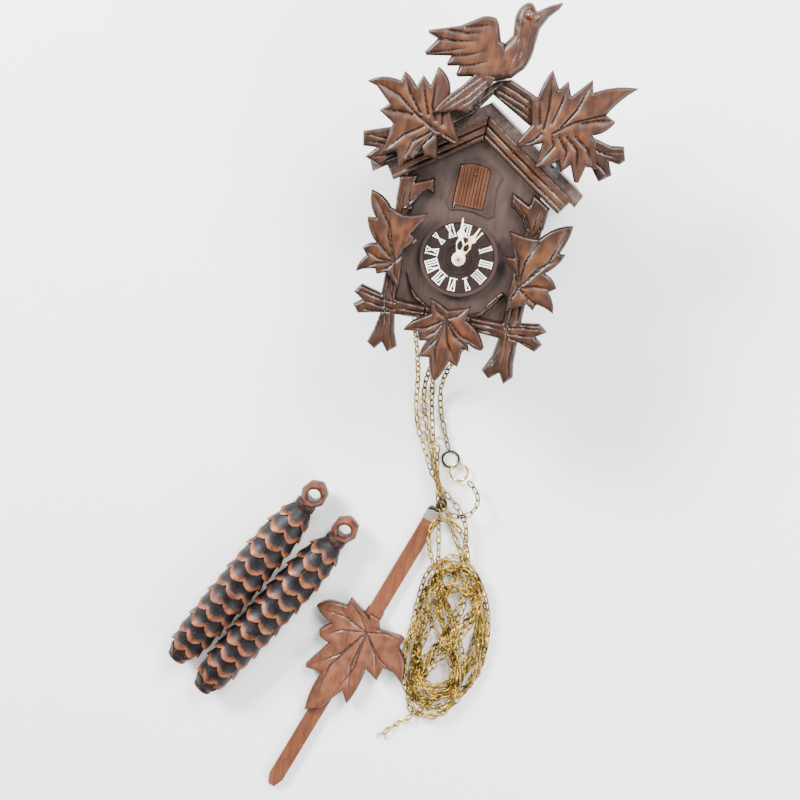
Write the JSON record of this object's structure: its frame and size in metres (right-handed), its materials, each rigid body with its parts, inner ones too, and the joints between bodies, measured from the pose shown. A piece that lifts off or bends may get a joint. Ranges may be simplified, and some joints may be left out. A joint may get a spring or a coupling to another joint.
{
  "type": "cuckoo clock",
  "caption": "Carved wooden cuckoo clock lying on its back, with a loose leaf pendulum, pine-cone weights and tangled chains beside it.",
  "frame": {"origin": "where the axis of the hands meets the plane of the back", "axes": "+Z out of the dial, +Y towards the roof ridge, +X to the right of the dial"},
  "size_m": [0.2212, 0.5391, 0.1071],
  "materials": {
    "panel_wood": "dark stained softwood with a satin lacquer",
    "case_wood": "dark stained softwood",
    "back_board": "plain thin board",
    "roof_wood": "dark stained board, worn grey",
    "carving_wood": "carved lime wood, red-brown stain under glossy lacquer",
    "plate_steel": "thin plate, dull",
    "eye_bead": "small red bead",
    "dial_wood": "turned wood, stained",
    "ivory_plastic": "ivory",
    "brass": "worn brass",
    "wire_steel": "bright wire",
    "cuckoo_paint": "painted",
    "pipe_wood": "unstained wood",
    "stick_wood": "stained strip",
    "cone_iron": "cast iron, black with copper-coloured edges",
    "chain_brass": "darkened brass links"
  },
  "bodies": {
    "case": {"front_panel": "panel_wood", "side_walls": "case_wood", "bottom_board": "case_wood", "back_panel": "back_board", "roof_boards": "roof_wood", "roof_trims": "carving_wood", "roof_plates": "plate_steel", "door_surround": "carving_wood", "branch_frame": "carving_wood", "leaf_left": "carving_wood", "leaf_right": "carving_wood", "leaf_bottom": "carving_wood", "crown_branches": "carving_wood", "crown_leaf_left": "carving_wood", "crown_leaf_right": "carving_wood", "crown_bird": "carving_wood", "bird_eye": "eye_bead", "dial": "dial_wood", "numerals": "ivory_plastic", "movement_frame": "brass", "gong": "wire_steel", "door_wire": "wire_steel", "whistles": "pipe_wood", "screws": "plate_steel", "time_weight_chain": "chain_brass", "strike_weight_chain": "chain_brass", "time_ring_chain": "chain_brass", "strike_ring_chain": "chain_brass", "time_heap": "chain_brass", "strike_heap": "chain_brass", "brass_ring": "brass", "dark_ring": "plate_steel", "time_hook": "wire_steel", "strike_hook": "wire_steel"},
    "minute_arbor": {"centre_arbor": "brass", "minute_hand": "ivory_plastic", "hand_nut": "brass"},
    "hour_arbor": {"hour_wheel": "brass", "hour_hand": "ivory_plastic"},
    "minute_reduction": {"minute_wheel": "brass"},
    "time_great": {"great_wheel_time": "brass"},
    "third": {"third_wheel": "brass"},
    "escape": {"escape_wheel": "brass"},
    "anchor_arbor": {"anchor": "plate_steel", "pendulum_leader": "wire_steel"},
    "strike_great": {"great_wheel_strike": "brass"},
    "strike_pins": {"pin_wheel": "brass"},
    "fly_arbor": {"fly": "brass"},
    "hammer_arbor": {"hammer": "wire_steel"},
    "small_bird": {"cuckoo": "cuckoo_paint", "bird_arm": "wire_steel"},
    "bird_door": {"cuckoo_door": "carving_wood"},
    "left_bellows": {"bellows_top_left": "pipe_wood"},
    "right_bellows": {"bellows_top_right": "pipe_wood"},
    "back_cover": {"service_cover": "back_board"},
    "pendulum": {"pendulum_stick": "stick_wood", "pendulum_hook": "plate_steel"},
    "pendulum_leaf": {"leaf_bob": "carving_wood"},
    "left_weight": {"weight_left": "cone_iron"},
    "right_weight": {"weight_right": "cone_iron"}
  },
  "joints": [
    {"name": "minute_turn", "type": "hinge", "parent": "case", "child": "minute_arbor", "pos_m": [0, 0, 0.06], "axis": [0, 0, 1], "continuous": true},
    {"name": "hour_turn", "type": "hinge", "parent": "case", "child": "hour_arbor", "pos_m": [0, 0, 0.072], "axis": [0, 0, 1], "continuous": true},
    {"name": "minute_wheel_turn", "type": "hinge", "parent": "case", "child": "minute_reduction", "pos_m": [0.00483, -0.00836, 0.069], "axis": [0, 0, 1], "continuous": true},
    {"name": "time_great_turn", "type": "hinge", "parent": "case", "child": "time_great", "pos_m": [-0.01301, -0.01301, 0.045], "axis": [0, 0, 1], "continuous": true},
    {"name": "third_turn", "type": "hinge", "parent": "case", "child": "third", "pos_m": [-0.00615, 0.01065, 0.052], "axis": [0, 0, 1], "continuous": true},
    {"name": "escape_turn", "type": "hinge", "parent": "case", "child": "escape", "pos_m": [-0.00447, 0.02016, 0.045], "axis": [0, 0, 1], "continuous": true},
    {"name": "anchor_swing", "type": "hinge", "parent": "case", "child": "anchor_arbor", "pos_m": [-0.00447, 0.02776, 0.038], "axis": [0, 0, 1], "range_deg": [-4, 4]},
    {"name": "strike_great_turn", "type": "hinge", "parent": "case", "child": "strike_great", "pos_m": [0.01301, -0.01301, 0.058], "axis": [0, 0, 1], "continuous": true},
    {"name": "pin_wheel_turn", "type": "hinge", "parent": "case", "child": "strike_pins", "pos_m": [0.01501, 0.00453, 0.052], "axis": [0, 0, 1], "continuous": true},
    {"name": "fly_turn", "type": "hinge", "parent": "case", "child": "fly_arbor", "pos_m": [0.012, 0.01609, 0.045], "axis": [0, 0, 1], "continuous": true},
    {"name": "hammer_swing", "type": "hinge", "parent": "case", "child": "hammer_arbor", "pos_m": [0.016, -0.025, 0.02], "axis": [0, 0, 1], "range_deg": [-5, 10]},
    {"name": "bird_out", "type": "slide", "parent": "case", "child": "small_bird", "axis": [0, 0, 1], "range_m": [0, 0.022]},
    {"name": "door_open", "type": "hinge", "parent": "case", "child": "bird_door", "pos_m": [-0.00905, 0.04, 0.086], "axis": [0, -1, 0], "range_deg": [0, 100]},
    {"name": "left_bellows_lift", "type": "hinge", "parent": "case", "child": "left_bellows", "pos_m": [-0.028, 0.0215, 0.0296], "axis": [1, 0, 0], "range_deg": [0, 18]},
    {"name": "right_bellows_lift", "type": "hinge", "parent": "case", "child": "right_bellows", "pos_m": [0.028, 0.0215, 0.0296], "axis": [1, 0, 0], "range_deg": [0, 18]},
    {"name": "cover_slide", "type": "slide", "parent": "case", "child": "back_cover", "axis": [0, 1, 0], "range_m": [0, 0.015]},
    {"name": "pendulum_lift", "type": "slide", "parent": "case", "child": "pendulum", "axis": [0, 0, 1], "range_m": [0, 0.15]},
    {"name": "leaf_slide", "type": "slide", "parent": "pendulum", "child": "pendulum_leaf", "axis": [-0.3107, -0.9505, 0], "range_m": [0, 0.09]},
    {"name": "left_weight_lift", "type": "slide", "parent": "case", "child": "left_weight", "axis": [0, 0, 1], "range_m": [0, 0.15]},
    {"name": "right_weight_lift", "type": "slide", "parent": "case", "child": "right_weight", "axis": [0, 0, 1], "range_m": [0, 0.15]}
  ],
  "couplings": [
    {"joint": "hour_turn", "follows": "minute_turn", "ratio": 0.083333},
    {"joint": "minute_wheel_turn", "follows": "minute_turn", "ratio": -0.33333},
    {"joint": "time_great_turn", "follows": "minute_turn", "ratio": -0.27778},
    {"joint": "third_turn", "follows": "minute_turn", "ratio": -6},
    {"joint": "escape_turn", "follows": "minute_turn", "ratio": 42},
    {"joint": "pin_wheel_turn", "follows": "strike_great_turn", "ratio": -4.5},
    {"joint": "fly_turn", "follows": "strike_great_turn", "ratio": 33.75},
    {"joint": "door_open", "follows": "bird_out", "rad_per_m": 79.3}
  ]
}
